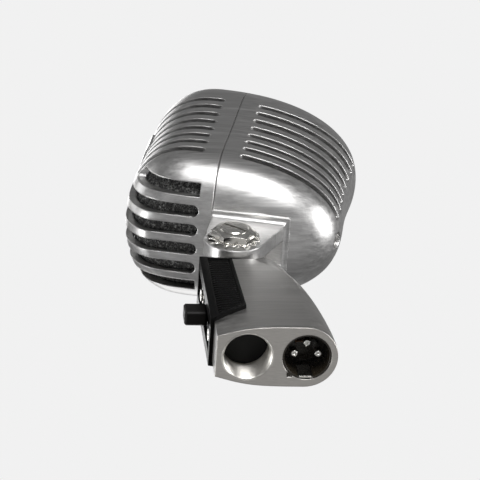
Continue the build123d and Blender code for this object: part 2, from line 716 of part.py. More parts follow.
with BuildPart() as connector_latch_plate:
    with Locations((-7.15, INLET_Y, 4.4)):
        Box(0.6, 4.2, 7.8)
connector_latch_plate.part.label = "connector_latch_plate"
export_step(connector_latch_plate.part, "parts/connector_latch_plate.step")

with BuildPart() as connector_screw:
    with BuildSketch(Plane.XZ.offset(-28.1)):
        with Locations((0, 8)):
            Circle(1.18)
    extrude(amount=1.1)
connector_screw.part.label = "connector_screw"
export_step(connector_screw.part, "parts/connector_screw.step")

# ---- swivel parts that stay in the base -----------------------------------------------
with BuildPart() as pivot_bush:
    with BuildSketch(Plane.YZ.offset(-TONGUE_HALF)):
        with Locations((PIVOT_Y, PIVOT_Z)):
            Circle(BUSH_RADIUS)
            Circle(STUD_RADIUS + 0.05, mode=Mode.SUBTRACT)
    extrude(amount=2 * TONGUE_HALF)
pivot_bush.part.label = "pivot_bush"
export_step(pivot_bush.part, "parts/pivot_bush.step")

with BuildPart() as friction_washers:
    for side in (1, -1):
        with BuildSketch(Plane.YZ.offset(side * (TONGUE_HALF - 0.5))):
            with Locations((PIVOT_Y, PIVOT_Z)):
                Circle(7.95)
                Circle(BUSH_RADIUS + 0.05, mode=Mode.SUBTRACT)
        extrude(amount=side * 0.62)
friction_washers.part.label = "friction_washers"
export_step(friction_washers.part, "parts/friction_washers.step")

# ---- switch_cover: moulded cover wrapped round the front of the base -------------------
COVER_OUTLINE = ((-14, 56.2), (-0.6, 54.2), (0.5, 16.0), (-9.5, 10.3), (-14, 9.4))
COVER_FIELD = ((-8.8, 54.4), (-1.5, 53.3), (-0.5, 17.0), (-8.8, 12.4))
cover_inner_form = base_form(0.04)
cover_outer_form = base_form(COVER_THICKNESS)
field_floor_form = base_form(COVER_THICKNESS - 0.5)
with BuildPart() as field_floor:
    add(field_floor_form)
    add(cover_inner_form, mode=Mode.SUBTRACT)
    with BuildSketch(Plane.YZ.offset(-20)):
        with BuildLine():
            Polyline(*COVER_FIELD, close=True)
        make_face()
    extrude(amount=40, mode=Mode.INTERSECT)

with BuildPart() as switch_cover:
    add(cover_outer_form)
    add(cover_inner_form, mode=Mode.SUBTRACT)
    with BuildSketch(Plane.YZ.offset(-20)):
        with BuildLine():
            Polyline(*COVER_OUTLINE, close=True)
        make_face()
    extrude(amount=40, mode=Mode.INTERSECT)
    # recessed front field with the plug that fills the base's recess
    with Locations((0, -12.3, 33)):
        Box(9.2, 4.0, 42.4, mode=Mode.SUBTRACT)
    with Locations((0, -9.6, 33)):
        Box(9.9, 1.4, 42.4)
    # fields sunk in the two side flanges, each down to its thinner floor
    for side in (1, -1):
        with BuildSketch(Plane.YZ.offset(side * 7.0)):
            with BuildLine():
                Polyline(*COVER_FIELD, close=True)
            make_face()
        extrude(amount=side * 10, mode=Mode.SUBTRACT)
    add(field_floor.part)
    # lever slot and screw holes
    with Locations((0, -9.6, LEVER_Z - LEVER_TRAVEL / 2)):
        Box(3.6, 4, 4.8 + LEVER_TRAVEL, mode=Mode.SUBTRACT)
    with BuildSketch(Plane.XZ.offset(12)):
        with Locations(*[(0, height) for height in COVER_SCREW_Z]):
            Circle(1.2)
    extrude(amount=-6, mode=Mode.SUBTRACT)
switch_cover.part.label = "switch_cover"
export_step(switch_cover.part, "parts/switch_cover.step")

with BuildPart() as cover_screws:
    for height in COVER_SCREW_Z:
        with BuildSketch(Plane.XZ.offset(10.3)):
            with Locations((0, height)):
                Circle(2.8)
        extrude(amount=0.35)
        with BuildSketch(Plane.XZ.offset(10.3)):
            with Locations((0, height)):
                Circle(1.95)
        extrude(amount=1.05)
        with BuildSketch(Plane.XZ.offset(11.35)):
            with Locations((0, height)):
                Rectangle(0.55, 2.2, rotation=20)
                Rectangle(2.2, 0.55, rotation=20)
        extrude(amount=-0.7, mode=Mode.SUBTRACT)
        with BuildSketch(Plane.XZ.offset(10.3)):
            with Locations((0, height)):
                Circle(1.0)
        extrude(amount=-5)
cover_screws.part.label = "cover_screws"
export_step(cover_screws.part, "parts/cover_screws.step")

# ---- slide switch ---------------------------------------------------------------------
with BuildPart() as switch_frame:
    with BuildSketch(Plane.XZ.offset(8.7)):
        with Locations((0, 30)):
            Rectangle(8.4, 33.4)
        with Locations((0, LEVER_Z - LEVER_TRAVEL / 2)):
            Rectangle(3.8, 5 + LEVER_TRAVEL, mode=Mode.SUBTRACT)
        with Locations(*[(0, height) for height in COVER_SCREW_Z]):
            Circle(1.05, mode=Mode.SUBTRACT)
    extrude(amount=-0.7)
switch_frame.part.label = "switch_frame"
export_step(switch_frame.part, "parts/switch_frame.step")

with BuildPart() as switch_body:
    with Locations((0, -5.2, 28.5)):
        Box(7.6, 5.4, 20)
    with Locations((0, -6.1, LEVER_Z - LEVER_TRAVEL / 2)):
        Box(3.8, 4.0, 5.4 + LEVER_TRAVEL, mode=Mode.SUBTRACT)
switch_body.part.label = "switch_body"
export_step(switch_body.part, "parts/switch_body.step")

with BuildPart() as switch_terminals:
    with Locations((0, -1.0, 22), (0, -1.0, 28.5), (0, -1.0, 35)):
        Box(1.8, 3.0, 0.5)
switch_terminals.part.label = "switch_terminals"
export_step(switch_terminals.part, "parts/switch_terminals.step")

with BuildPart() as switch_slider:
    with Locations((0, -6.0, LEVER_Z)):
        Box(3.0, 3.0, 4.4)
switch_slider.part.label = "switch_slider"
export_step(switch_slider.part, "parts/switch_slider.step")

with BuildPart() as switch_lever:
    with Locations((0, -14.3, LEVER_Z)):
        Box(5.0, 7.4, 7.0)
    chamfer(switch_lever.edges(), 0.6)
    with Locations((0, -9.2, LEVER_Z)):
        Box(3.0, 3.4, 4.0)
switch_lever.part.label = "switch_lever"
export_step(switch_lever.part, "parts/switch_lever.step")

# ---- base_leads: two leads from the inlet's pins to the switch's terminals --------------
with BuildPart() as base_leads:
    for side, level in ((1, 25.0), (-1, 28.5)):
        with BuildLine() as route:
            FilletPolyline((side * 2, INLET_Y - PIN_OFFSET, 21.2), (side * 2, INLET_Y - PIN_OFFSET, level),
                           (side * 2, 1.0, level), radius=2.4)
        with BuildSketch(Plane.XY.offset(21.2)):
            with Locations((side * 2, INLET_Y - PIN_OFFSET)):
                Circle(0.7)
        sweep(path=route.wires()[0])
base_leads.part.label = "base_leads"
export_step(base_leads.part, "parts/base_leads.step")
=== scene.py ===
import math

import bpy
import bmesh
from mathutils import Euler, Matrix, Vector, noise
from mathutils.bvhtree import BVHTree


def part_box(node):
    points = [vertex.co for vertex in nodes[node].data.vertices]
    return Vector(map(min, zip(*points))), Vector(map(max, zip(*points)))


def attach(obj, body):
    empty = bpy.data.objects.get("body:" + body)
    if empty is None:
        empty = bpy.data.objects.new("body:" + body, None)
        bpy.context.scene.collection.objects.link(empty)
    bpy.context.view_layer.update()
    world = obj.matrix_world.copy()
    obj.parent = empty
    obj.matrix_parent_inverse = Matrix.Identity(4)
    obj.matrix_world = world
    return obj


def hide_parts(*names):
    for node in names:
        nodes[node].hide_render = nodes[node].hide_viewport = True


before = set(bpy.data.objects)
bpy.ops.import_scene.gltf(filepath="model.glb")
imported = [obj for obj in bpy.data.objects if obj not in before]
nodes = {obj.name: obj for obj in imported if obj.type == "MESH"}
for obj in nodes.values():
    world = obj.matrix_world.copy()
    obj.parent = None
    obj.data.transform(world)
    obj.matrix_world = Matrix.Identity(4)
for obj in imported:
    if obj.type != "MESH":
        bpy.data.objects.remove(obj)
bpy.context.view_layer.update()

# ---- studio ---------------------------------------------------------------------------
# The microphone is looked at from below its base, as if it stood on a tall stand.
# A pale floor lies far beneath, and large soft boxes hang round it.
MM = 0.001
camera_data = bpy.data.cameras.new("studio_camera")
camera_data.lens = 210
camera_data.sensor_width = 36
camera = bpy.data.objects.new("studio_camera", camera_data)
camera.location = (0.4011, -0.1011, -0.7827)
camera.rotation_euler = Euler([math.radians(a) for a in (155.04, 5.34, 86.38)])
bpy.context.scene.collection.objects.link(camera)
bpy.context.scene.camera = camera
bpy.context.scene.view_settings.view_transform = "Standard"


def soft_box(name, direction, distance, size, power):
    """Square area light that looks at the middle of the microphone."""
    light = bpy.data.lights.new(name, "AREA")
    light.shape = "SQUARE"
    light.size = size
    light.energy = power
    lamp = bpy.data.objects.new(name, light)
    aim = Vector((0, 0, 0.09))
    lamp.location = aim + Vector(direction).normalized() * distance
    lamp.rotation_euler = (aim - lamp.location).to_track_quat("-Z", "Y").to_euler()
    bpy.context.scene.collection.objects.link(lamp)


soft_box("right_low_box", (0.92, 0.10, -0.36), 1.0, 0.5, 9)
soft_box("rear_box", (0.20, 0.95, -0.24), 1.0, 0.6, 9)
soft_box("front_low_box", (-0.30, -0.90, -0.30), 1.0, 0.5, 4)
soft_box("top_box", (-0.3, -0.2, 1.0), 1.1, 0.5, 2)
soft_box("left_fill_box", (-1.0, -0.1, 0.35), 1.2, 0.8, 3.5)
soft_box("front_fill_box", (0.1, -1.0, 0.55), 1.2, 0.8, 3.5)

world = bpy.data.worlds.new("studio_world")
world.use_nodes = True
bpy.context.scene.world = world
world_nodes, world_links = world.node_tree.nodes, world.node_tree.links
world_nodes.clear()
world_out = world_nodes.new("ShaderNodeOutputWorld")
seen = world_nodes.new("ShaderNodeBackground")
seen.inputs["Color"].default_value = (0.88, 0.88, 0.88, 1)
around = world_nodes.new("ShaderNodeBackground")
around.inputs["Color"].default_value = (0.19, 0.19, 0.19, 1)
chooser = world_nodes.new("ShaderNodeMixShader")
ray = world_nodes.new("ShaderNodeLightPath")
world_links.new(ray.outputs["Is Camera Ray"], chooser.inputs["Fac"])
world_links.new(around.outputs[0], chooser.inputs[1])
world_links.new(seen.outputs[0], chooser.inputs[2])
world_links.new(chooser.outputs[0], world_out.inputs["Surface"])

floor_mesh = bmesh.new()
bmesh.ops.create_grid(floor_mesh, x_segments=8, y_segments=8, size=4)
floor_data = bpy.data.meshes.new("studio_floor")
floor_mesh.to_mesh(floor_data)
floor_mesh.free()
floor = bpy.data.objects.new("studio_floor", floor_data)
floor.location = (0, 0, -1.3)
bpy.context.scene.collection.objects.link(floor)
floor_paint = bpy.data.materials.new("pale_floor")
floor_paint.use_nodes = True
floor_paint.node_tree.nodes["Principled BSDF"].inputs["Base Color"].default_value = (0.75, 0.75, 0.75, 1)
floor_paint.node_tree.nodes["Principled BSDF"].inputs["Roughness"].default_value = 0.8
floor_data.materials.append(floor_paint)

# ---- head castings -----------------------------------------------------------------------
# Two zinc die castings, front and rear, that meet on the seam. They are bright plated and
# then brushed from front to back, so the light breaks into fine lines.


def start_material(name, colour, roughness, metallic):
    """Material with one shader, and the tools to add nodes to it."""
    made = bpy.data.materials.new(name)
    made.use_nodes = True
    tree = made.node_tree
    shader = tree.nodes["Principled BSDF"]
    shader.inputs["Base Color"].default_value = (*colour, 1)
    shader.inputs["Roughness"].default_value = roughness
    shader.inputs["Metallic"].default_value = metallic
    return made, tree, shader


def grain(tree, stretch, scale, detail=4.0, roughness=0.6):
    """Noise over the object's own coordinates, stretched along its grain."""
    where = tree.nodes.new("ShaderNodeTexCoord")
    squeeze = tree.nodes.new("ShaderNodeMapping")
    squeeze.inputs["Scale"].default_value = stretch
    pattern = tree.nodes.new("ShaderNodeTexNoise")
    pattern.inputs["Scale"].default_value = scale
    pattern.inputs["Detail"].default_value = detail
    pattern.inputs["Roughness"].default_value = roughness
    tree.links.new(where.outputs["Object"], squeeze.inputs["Vector"])
    tree.links.new(squeeze.outputs["Vector"], pattern.inputs["Vector"])
    return pattern


def spread(tree, source, low, high, start=0.3, end=0.7, output=0):
    """Maps a pattern's middle values onto a chosen range."""
    ramp = tree.nodes.new("ShaderNodeMapRange")
    ramp.inputs["From Min"].default_value = start
    ramp.inputs["From Max"].default_value = end
    ramp.inputs["To Min"].default_value = low
    ramp.inputs["To Max"].default_value = high
    tree.links.new(source.outputs[output], ramp.inputs["Value"])
    return ramp


def two_tone(tree, source, dark, light, start=0.3, end=0.7):
    """Colour that runs from dark to light with a pattern."""
    ramp = tree.nodes.new("ShaderNodeValToRGB")
    ramp.color_ramp.elements[0].position = start
    ramp.color_ramp.elements[1].position = end
    ramp.color_ramp.elements[0].color = (*dark, 1)
    ramp.color_ramp.elements[1].color = (*light, 1)
    tree.links.new(source.outputs[0], ramp.inputs["Fac"])
    return ramp


def relief(tree, shader, source, height, eased_edge=0.0):
    """Bump from a pattern, over edges that are eased by a small radius."""
    bump = tree.nodes.new("ShaderNodeBump")
    bump.inputs["Strength"].default_value = 1.0
    bump.inputs["Distance"].default_value = height
    tree.links.new(source.outputs[0], bump.inputs["Height"])
    if eased_edge:
        eased = tree.nodes.new("ShaderNodeBevel")
        eased.samples = 6
        eased.inputs["Radius"].default_value = eased_edge
        tree.links.new(eased.outputs["Normal"], bump.inputs["Normal"])
    tree.links.new(bump.outputs["Normal"], shader.inputs["Normal"])


BROAD_STREAK = 0.3


def brushed_casting(name, colour, roughness, stretch, depth, eased_edge):
    """Plated casting with a brushed grain: fine lines in gloss, tone and relief."""
    made, tree, shader = start_material(name, colour, roughness, 1.0)
    fine = grain(tree, stretch, 1.0, 5.0, 0.65)
    broad = grain(tree, [share * BROAD_STREAK for share in stretch], 1.0, 4.0, 0.6)
    lines = tree.nodes.new("ShaderNodeMath")
    lines.operation = "ADD"
    tree.links.new(fine.outputs[0], lines.inputs[0])
    tree.links.new(broad.outputs[0], lines.inputs[1])
    gloss = spread(tree, lines, roughness - 0.05, roughness + 0.07, 0.75, 1.25)
    tree.links.new(gloss.outputs[0], shader.inputs["Roughness"])
    levelled = spread(tree, lines, 0.0, 1.0, 0.72, 1.28)
    dark = [c * 0.80 for c in colour]
    light = [min(1, c * 1.10) for c in colour]
    tone = two_tone(tree, levelled, dark, light, 0.0, 1.0)
    tree.links.new(tone.outputs["Color"], shader.inputs["Base Color"])
    relief(tree, shader, lines, depth, eased_edge)
    return made


def finish_node(name, material):
    """Gives a CAD piece its finish in every slot."""
    node = nodes[name]
    if not node.material_slots:
        node.data.materials.append(material)
    for slot in node.material_slots:
        slot.material = material


HEAD_GRAIN = (2300, 40, 2300)
head_casting = brushed_casting("brushed_head", (0.57, 0.565, 0.56), 0.36, HEAD_GRAIN, 0.00002, 0.0006)
finish_node("front_housing", head_casting)
finish_node("rear_housing", head_casting)

# ---- trim band ----------------------------------------------------------------------------
# A plain polished strip pressed onto the upright bars at the front of the head. It is
# bright metal, with faint polishing lines along its length.
band_metal, band_tree, band_shader = start_material("polished_band", (0.72, 0.72, 0.72), 0.16, 1.0)
band_marks = grain(band_tree, (60, 60, 3000), 1.0)
band_gloss = spread(band_tree, band_marks, 0.12, 0.22)
band_tree.links.new(band_gloss.outputs[0], band_shader.inputs["Roughness"])
relief(band_tree, band_shader, band_marks, 0.000004, 0.0004)
finish_node("front_band", band_metal)

# ---- foam liners ---------------------------------------------------------------------------
# Charcoal open-cell foam, cut from sheet and pressed behind the slots of each half.
# It is rough with small cells. Its colour is painted light: the cell walls are painted lighter as painted
# highlights, and the pores darker as painted shade.
foam_stuff, foam_tree, foam_shader = start_material("charcoal_foam", (0.05, 0.05, 0.048), 0.95, 0.0)
foam_where = foam_tree.nodes.new("ShaderNodeTexCoord")
cells = foam_tree.nodes.new("ShaderNodeTexVoronoi")
cells.feature = "DISTANCE_TO_EDGE"
cells.inputs["Scale"].default_value = 1300
foam_tree.links.new(foam_where.outputs["Object"], cells.inputs["Vector"])
cell_walls = foam_tree.nodes.new("ShaderNodeMapRange")
cell_walls.inputs["From Min"].default_value = 0.0
cell_walls.inputs["From Max"].default_value = 0.22
cell_walls.inputs["To Min"].default_value = 1.0
cell_walls.inputs["To Max"].default_value = 0.0
foam_tree.links.new(cells.outputs["Distance"], cell_walls.inputs["Value"])
foam_specks = grain(foam_tree, (1, 1, 1), 900, 3.0)
speck_share = spread(foam_tree, foam_specks, 0.15, 1.0, 0.45, 0.65)
# painted highlight on the cell walls, broken up by random specks; the pores between stay dark as painted
# shade
wall_painted_highlight = foam_tree.nodes.new("ShaderNodeMath")
wall_painted_highlight.operation = "MULTIPLY"
foam_tree.links.new(cell_walls.outputs[0], wall_painted_highlight.inputs[0])
foam_tree.links.new(speck_share.outputs[0], wall_painted_highlight.inputs[1])
foam_painted_light_tone = two_tone(foam_tree, wall_painted_highlight, (0.022, 0.022, 0.022), (0.42, 0.42, 0.41), 0.0, 0.9)
foam_tree.links.new(foam_painted_light_tone.outputs["Color"], foam_shader.inputs["Base Color"])
relief(foam_tree, foam_shader, cell_walls, 0.0004)

FOAM_VOXEL = 0.9 * MM
PORE_DEPTH = 0.44 * MM
PORE_SCALE = 1100
for liner in ("front_foam", "rear_foam"):
    sheet = nodes[liner].data.copy()
    piece = bpy.data.objects.new(liner + "_cells", sheet)
    bpy.context.scene.collection.objects.link(piece)
    voxels = piece.modifiers.new("cells", "REMESH")
    voxels.mode = "VOXEL"
    voxels.voxel_size = FOAM_VOXEL
    voxels.use_smooth_shade = True
    evaluated = piece.evaluated_get(bpy.context.evaluated_depsgraph_get())
    cut = bpy.data.meshes.new_from_object(evaluated)
    piece.modifiers.clear()
    piece.data = cut
    # each point sinks by a pore's depth, so the sheet stays inside its own outline
    points = [vertex.co.copy() for vertex in cut.vertices]
    outward = [vertex.normal.copy() for vertex in cut.vertices]
    sunk = []
    for point, normal in zip(points, outward):
        pore = 0.5 + 0.5 * noise.noise(point * PORE_SCALE)
        sunk.extend(point - normal * PORE_DEPTH * pore)
    cut.vertices.foreach_set("co", sunk)
    cut.update()
    cut.materials.clear()
    cut.materials.append(foam_stuff)
    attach(piece, "head")
    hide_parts(liner)

# ---- base casting ---------------------------------------------------------------------------
# One zinc die casting with the tongue of the swivel, brushed across its sides. Its flat
# underside is linished finer and is warmer in tone; it is also painted lighter than the sides, as painted
# light.
BASE_GRAIN = (2400, 45, 2400)
FACING_DOWN, TURNED_AWAY = -0.97, -0.85
base_casting = brushed_casting("brushed_base", (0.47, 0.462, 0.45), 0.40, BASE_GRAIN, 0.00002, 0.0004)
base_tree = base_casting.node_tree
base_shader = base_tree.nodes["Principled BSDF"]
side_tone = base_shader.inputs["Base Color"].links[0].from_socket
linish = grain(base_tree, (3000, 300, 3000), 1.0, 3.0)
# warm, finely linished underside tone, set lighter than the sides as painted light
underside_painted_light_tone = two_tone(base_tree, linish, (0.56, 0.54, 0.51), (0.66, 0.635, 0.60))
base_where = base_tree.nodes.new("ShaderNodeTexCoord")
facing = base_tree.nodes.new("ShaderNodeSeparateXYZ")
base_tree.links.new(base_where.outputs["Normal"], facing.inputs[0])
underside = spread(base_tree, facing, 1.0, 0.0, FACING_DOWN, TURNED_AWAY, "Z")
# inputs 6 and 7 and output 2 are the mix's colour sockets
painted_light_mix = base_tree.nodes.new("ShaderNodeMix")
painted_light_mix.data_type = "RGBA"
base_tree.links.new(underside.outputs[0], painted_light_mix.inputs["Factor"])
base_tree.links.new(side_tone, painted_light_mix.inputs[6])
base_tree.links.new(underside_painted_light_tone.outputs["Color"], painted_light_mix.inputs[7])
base_tree.links.new(painted_light_mix.outputs[2], base_shader.inputs["Base Color"])
finish_node("base_housing", base_casting)

# ---- plain metal parts ------------------------------------------------------------------------
# Small turned, pressed and plated pieces, each with faint tool marks and handling smears.
# The swivel's stud and nut are chromed, the screws nickel plated, the contacts silver plated.


def plated(name, colour, roughness, eased_edge=0.00015):
    """Small metal part with faint smears and tool marks."""
    made, tree, shader = start_material(name, colour, roughness, 1.0)
    smears = grain(tree, (1, 1, 1), 700, 6.0)
    gloss = spread(tree, smears, roughness * 0.75, roughness * 1.35)
    tree.links.new(gloss.outputs[0], shader.inputs["Roughness"])
    tone = two_tone(tree, smears, [c * 0.88 for c in colour], colour)
    tree.links.new(tone.outputs["Color"], shader.inputs["Base Color"])
    relief(tree, shader, smears, 0.0000015, eased_edge)
    return made


swivel_chrome = plated("swivel_chrome", (0.78, 0.765, 0.73), 0.17, 0.00012)
screw_nickel = plated("screw_nickel", (0.72, 0.70, 0.66), 0.2)
finish_node("pivot_bolt", swivel_chrome)
finish_node("pivot_nut", swivel_chrome)
for part in ("cover_screws", "connector_latch_plate", "connector_screw", "housing_screws", "clamp_screws"):
    finish_node(part, screw_nickel)
pin_silver = plated("pin_silver", (0.88, 0.87, 0.83), 0.12)
finish_node("switch_terminals", pin_silver)
finish_node("switch_slider", pin_silver)

# ---- toothed lock washer ----------------------------------------------------------------------
# Spring-steel washer under the swivel's nut, plated. Its outer teeth are pressed with a
# twist, so that each one bites into the nut and the cheek.
WASHER_TEETH = 14
TOOTH_TWIST = math.radians(32)
TOOTH_HALF_WIDTH = 1.05 * MM
TOOTH_ROOT_DEPTH, TOOTH_OVERLAP, TOOTH_REACH = 1.6 * MM, 0.4 * MM, 2.0 * MM
TOOTH_THICKNESS_SHARE = 0.8
FLAT_SHARE = 0.75
RING_SEGMENTS = 84
washer_low, washer_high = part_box("star_washer")
nut_low, nut_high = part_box("pivot_nut")
washer_centre = Vector(((washer_low.x + washer_high.x) / 2, (nut_low.y + nut_high.y) / 2,
                        (nut_low.z + nut_high.z) / 2))
washer_radius = (washer_high.y - washer_low.y) / 2
washer_half = (washer_high.x - washer_low.x) / 2
STUD_HOLE = 5.0 * MM


def add_ring(mesh, centre, profile, segments):
    """Turns a closed profile of (along x, radius) points round the X axis through centre."""
    rings = []
    for step in range(segments):
        turn = 2 * math.pi * step / segments
        rings.append([mesh.verts.new(centre + Vector((x, r * math.cos(turn), r * math.sin(turn))))
                      for x, r in profile])
    count = len(profile)
    for step in range(segments):
        here, there = rings[step], rings[(step + 1) % segments]
        for i in range(count):
            j = (i + 1) % count
            mesh.faces.new((here[i], there[i], there[j], here[j]))


def finish_piece(name, mesh, material, body, smooth=False):
    """Turns a mesh under construction into a named piece that rides on a body."""
    bmesh.ops.recalc_face_normals(mesh, faces=mesh.faces[:])
    data = bpy.data.meshes.new(name)
    mesh.to_mesh(data)
    mesh.free()
    for face in data.polygons:
        face.use_smooth = smooth
    data.materials.append(material)
    piece = bpy.data.objects.new(name, data)
    bpy.context.scene.collection.objects.link(piece)
    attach(piece, body)
    return piece


washer = bmesh.new()
root_radius = washer_radius - TOOTH_ROOT_DEPTH
flat_half = washer_half * FLAT_SHARE
add_ring(washer, washer_centre,
         [(-flat_half, STUD_HOLE), (flat_half, STUD_HOLE),
          (flat_half, root_radius), (-flat_half, root_radius)], RING_SEGMENTS)
for tooth in range(WASHER_TEETH):
    turn = 2 * math.pi * (tooth + 0.5) / WASHER_TEETH
    outward = Vector((0, math.cos(turn), math.sin(turn)))
    across = Vector((0, -math.sin(turn), math.cos(turn)))
    along_axis = Vector((1, 0, 0))
    sections = []
    for share in (0.0, 0.35, 0.7, 1.0):
        twist = TOOTH_TWIST * min(1.0, share * 1.6)
        wide = across * math.cos(twist) + along_axis * math.sin(twist)
        thick = along_axis * math.cos(twist) - across * math.sin(twist)
        width = TOOTH_HALF_WIDTH * (1.0 - 0.25 * share)
        middle = washer_centre + outward * (root_radius - TOOTH_OVERLAP + share * TOOTH_REACH)
        corners = []
        for a, b in ((-1, -1), (1, -1), (1, 1), (-1, 1)):
            depth = flat_half * TOOTH_THICKNESS_SHARE
            corners.append(washer.verts.new(middle + wide * a * width + thick * b * depth))
        sections.append(corners)
    washer.faces.new(sections[0][::-1])
    washer.faces.new(sections[-1])
    for inner, outer in zip(sections, sections[1:]):
        for i in range(4):
            j = (i + 1) % 4
            washer.faces.new((inner[i], inner[j], outer[j], outer[i]))
lock_washer = finish_piece("lock_washer", washer, swivel_chrome, "head")
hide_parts("star_washer")

# ---- stand thread ------------------------------------------------------------------------------
# Nickel-plated insert with the internal stand thread, turned with a chamfered mouth and
# seated in the base's bore. A plain black disc closes the thread's inner end.
insert_nickel = plated("insert_nickel", (0.72, 0.70, 0.66), 0.38, 0.0002)
insert_low, insert_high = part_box("thread_insert")
insert_radius = (insert_high.x - insert_low.x) / 2
insert_length = insert_high.z
THREAD_PITCH = 0.9407 * MM
THREAD_DEPTH = 0.5 * MM
THREAD_MINOR = 7.43 * MM
MOUTH_CHAMFER = 0.55 * MM
GROOVE_HALF_SHARE = 0.42
AROUND, ROWS_PER_TURN = 96, 8

insert = bmesh.new()
rows = round(insert_length / THREAD_PITCH * ROWS_PER_TURN)
wall = []
for row in range(rows + 1):
    height = insert_length * row / rows
    ring_points = []
    for step in range(AROUND):
        turn = 2 * math.pi * step / AROUND
        phase = (height / THREAD_PITCH - step / AROUND) % 1.0
        groove = THREAD_DEPTH * max(0.0, 1 - abs(phase - 0.5) / GROOVE_HALF_SHARE)
        flare = max(0.0, MOUTH_CHAMFER - height)
        radius = THREAD_MINOR + max(groove * min(1.0, (insert_length - height) / THREAD_PITCH), flare)
        ring_points.append(insert.verts.new((radius * math.cos(turn), radius * math.sin(turn), height)))
    wall.append(ring_points)
outer_low = []
for k in range(AROUND):
    turn = 2 * math.pi * k / AROUND
    outer_low.append(insert.verts.new((insert_radius * math.cos(turn),
                                       insert_radius * math.sin(turn), 0)))
outer_high = [insert.verts.new((v.co.x, v.co.y, insert_length)) for v in outer_low]
skins = [outer_low] + wall + [outer_high]
for lower, upper in zip(skins, skins[1:] + skins[:1]):
    for k in range(AROUND):
        n = (k + 1) % AROUND
        insert.faces.new((lower[k], lower[n], upper[n], upper[k]))
threaded_insert = finish_piece("threaded_insert", insert, insert_nickel, "base", smooth=True)
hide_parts("thread_insert")


def moulded(name, colour, roughness, texture_scale, depth, eased_edge=0.0003, shine=0.5):
    """Moulded plastic, rubber or fibre with a fine surface texture."""
    made, tree, shader = start_material(name, colour, roughness, 0.0)
    shader.inputs["Specular IOR Level"].default_value = shine
    skin = grain(tree, (1, 1, 1), texture_scale, 5.0)
    gloss = spread(tree, skin, roughness - 0.06, roughness + 0.12)
    tree.links.new(gloss.outputs[0], shader.inputs["Roughness"])
    tone = two_tone(tree, skin, [c * 0.7 for c in colour], [c * 1.35 for c in colour])
    tree.links.new(tone.outputs["Color"], shader.inputs["Base Color"])
    relief(tree, shader, skin, depth, eased_edge)
    return made


disc_black = moulded("disc_black", (0.010, 0.010, 0.009), 0.5, 2500, 0.00002, 0.0003, 0.3)
finish_node("thread_end_disc", disc_black)

# ---- inlet cup ----------------------------------------------------------------------------------
# Black moulded cup that holds the three pins. It is pressed into the casting's bore and
# kept by a set screw, with a key lug in the casting's notch.
insulator_black = moulded("insulator_black", (0.020, 0.016, 0.011), 0.25, 1800, 0.000015, 0.0003, 0.5)
finish_node("connector_insert", insulator_black)

# ---- contact pins -----------------------------------------------------------------------------
# Three silver-plated brass pins, turned with a rounded tip that keeps the small hollow left
# by the lathe's centre. A brown bar is moulded on the cup's floor between two of them.
PIN_SPACING = 3.81 * MM
PIN_ROUNDING = 0.55 * MM
ROUNDING_STEPS = 6
TIP_HOLLOW_RADIUS, TIP_HOLLOW_DEPTH = 0.42 * MM, 0.45 * MM
PIN_SEGMENTS = 32
pin_low, pin_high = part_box("contact_pins")
pin_radius = pin_high.x - PIN_SPACING
inlet_y = (pin_low.y + pin_high.y) / 2

pins = bmesh.new()
pin_profile = [(0, TIP_HOLLOW_DEPTH),
               (TIP_HOLLOW_RADIUS * 0.8, TIP_HOLLOW_DEPTH * 0.6),
               (TIP_HOLLOW_RADIUS, 0)]
for step in range(ROUNDING_STEPS + 1):
    turn = math.pi / 2 * step / ROUNDING_STEPS
    pin_profile.append((pin_radius - PIN_ROUNDING * (1 - math.sin(turn)),
                        PIN_ROUNDING * (1 - math.cos(turn))))
pin_profile += [(pin_radius, pin_high.z - pin_low.z), (0, pin_high.z - pin_low.z)]
for pin_x, pin_y in ((0, inlet_y - PIN_SPACING), (0, inlet_y + PIN_SPACING), (PIN_SPACING, inlet_y)):
    rings = []
    for radius, rise in pin_profile:
        if radius == 0:
            rings.append([pins.verts.new((pin_x, pin_y, pin_low.z + rise))] * PIN_SEGMENTS)
            continue
        rings.append([pins.verts.new((pin_x + radius * math.cos(2 * math.pi * k / PIN_SEGMENTS),
                                      pin_y + radius * math.sin(2 * math.pi * k / PIN_SEGMENTS),
                                      pin_low.z + rise)) for k in range(PIN_SEGMENTS)])
    for lower, upper in zip(rings, rings[1:]):
        for k in range(PIN_SEGMENTS):
            n = (k + 1) % PIN_SEGMENTS
            corners = [lower[k], lower[n], upper[n], upper[k]]
            pins.faces.new(list(dict.fromkeys(corners)))
turned_pins = finish_piece("turned_pins", pins, pin_silver, "base", smooth=True)
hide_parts("contact_pins")

bar_brown = moulded("bar_brown", (0.10, 0.05, 0.025), 0.35, 1500, 0.00001)
CUP_FLOOR = 12.35 * MM
BAR_HALF_LENGTH, BAR_HALF_WIDTH, BAR_RISE = 1.7 * MM, 0.32 * MM, 1.25 * MM
BAR_OFFSET = 1.2 * MM
BAR_SEGMENTS = 24
bar_y = inlet_y - BAR_OFFSET
bar = bmesh.new()
bar_rows = []
for height, share in ((CUP_FLOOR, 1.0), (CUP_FLOOR - BAR_RISE * 0.7, 1.0), (CUP_FLOOR - BAR_RISE, 0.6)):
    row = []
    for step in range(BAR_SEGMENTS):
        turn = 2 * math.pi * step / BAR_SEGMENTS
        end_y = math.copysign(BAR_HALF_LENGTH - BAR_HALF_WIDTH, math.sin(turn))
        row.append(bar.verts.new((BAR_HALF_WIDTH * share * math.cos(turn),
                                  bar_y + end_y + BAR_HALF_WIDTH * share * math.sin(turn),
                                  height)))
    bar_rows.append(row)
for lower, upper in zip(bar_rows, bar_rows[1:]):
    for k in range(BAR_SEGMENTS):
        n = (k + 1) % BAR_SEGMENTS
        bar.faces.new((lower[k], lower[n], upper[n], upper[k]))
bar.faces.new(bar_rows[0][::-1])
bar.faces.new(bar_rows[-1])
finish_piece("inlet_bar", bar, bar_brown, "base", smooth=True)

